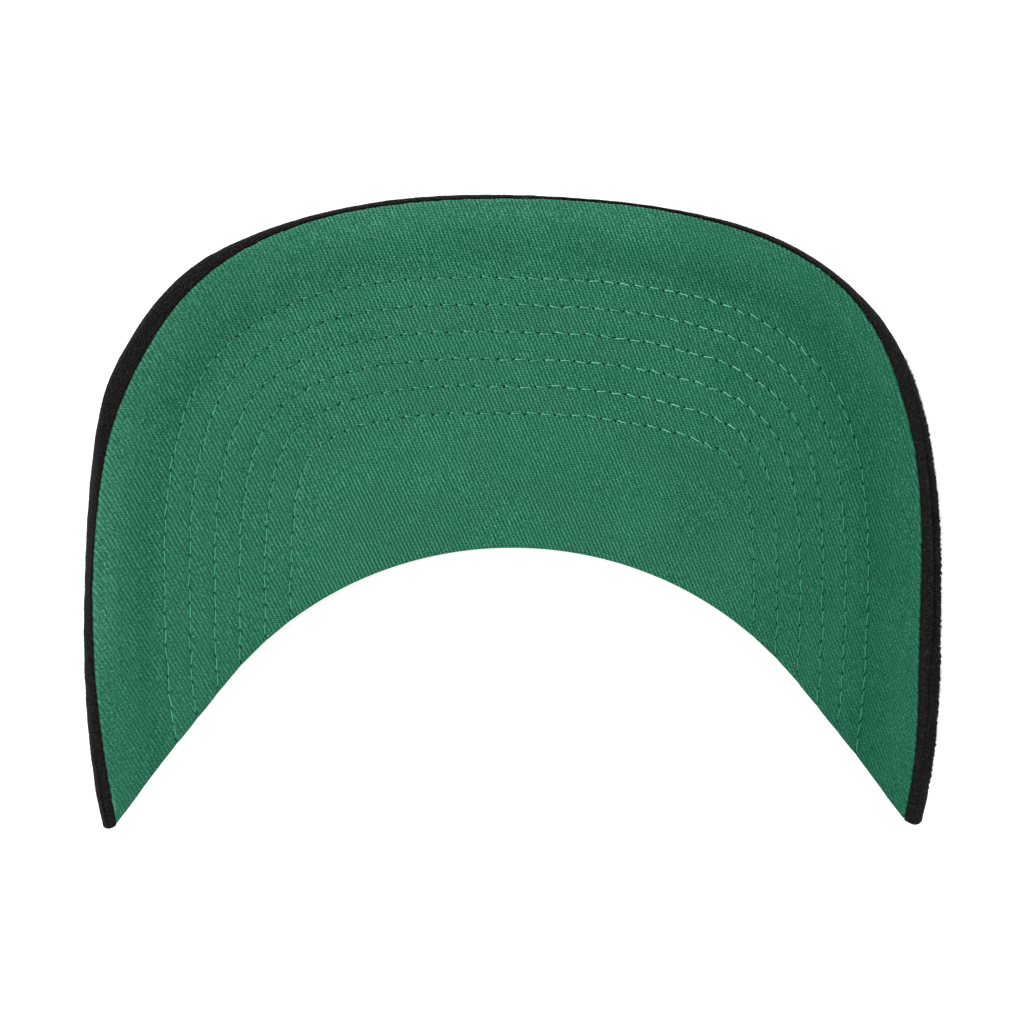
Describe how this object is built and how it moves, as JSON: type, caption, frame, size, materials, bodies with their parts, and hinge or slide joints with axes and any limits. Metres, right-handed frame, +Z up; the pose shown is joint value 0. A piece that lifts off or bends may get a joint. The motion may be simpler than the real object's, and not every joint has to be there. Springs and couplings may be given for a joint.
{
  "type": "snapback cap peak",
  "caption": "Bowed peak of a snapback cap: green twill underside, black brushed cloth above and turned round the rim, notch for the crown.",
  "frame": {"origin": "under the middle of the peak's outline, level with the strip of its upper side that it rests on", "axes": "+X across the peak, +Y from the crown's notch to the front of the rim, +Z up out of the bowed underside"},
  "size_m": [0.165, 0.1252, 0.0304],
  "materials": {
    "green_twill": "matt cotton twill",
    "black_brushed_cloth": "matt brushed wool blend"
  },
  "bodies": {
    "root": {"under_cloth": "green_twill", "top_cloth": "black_brushed_cloth"}
  },
  "joints": []
}
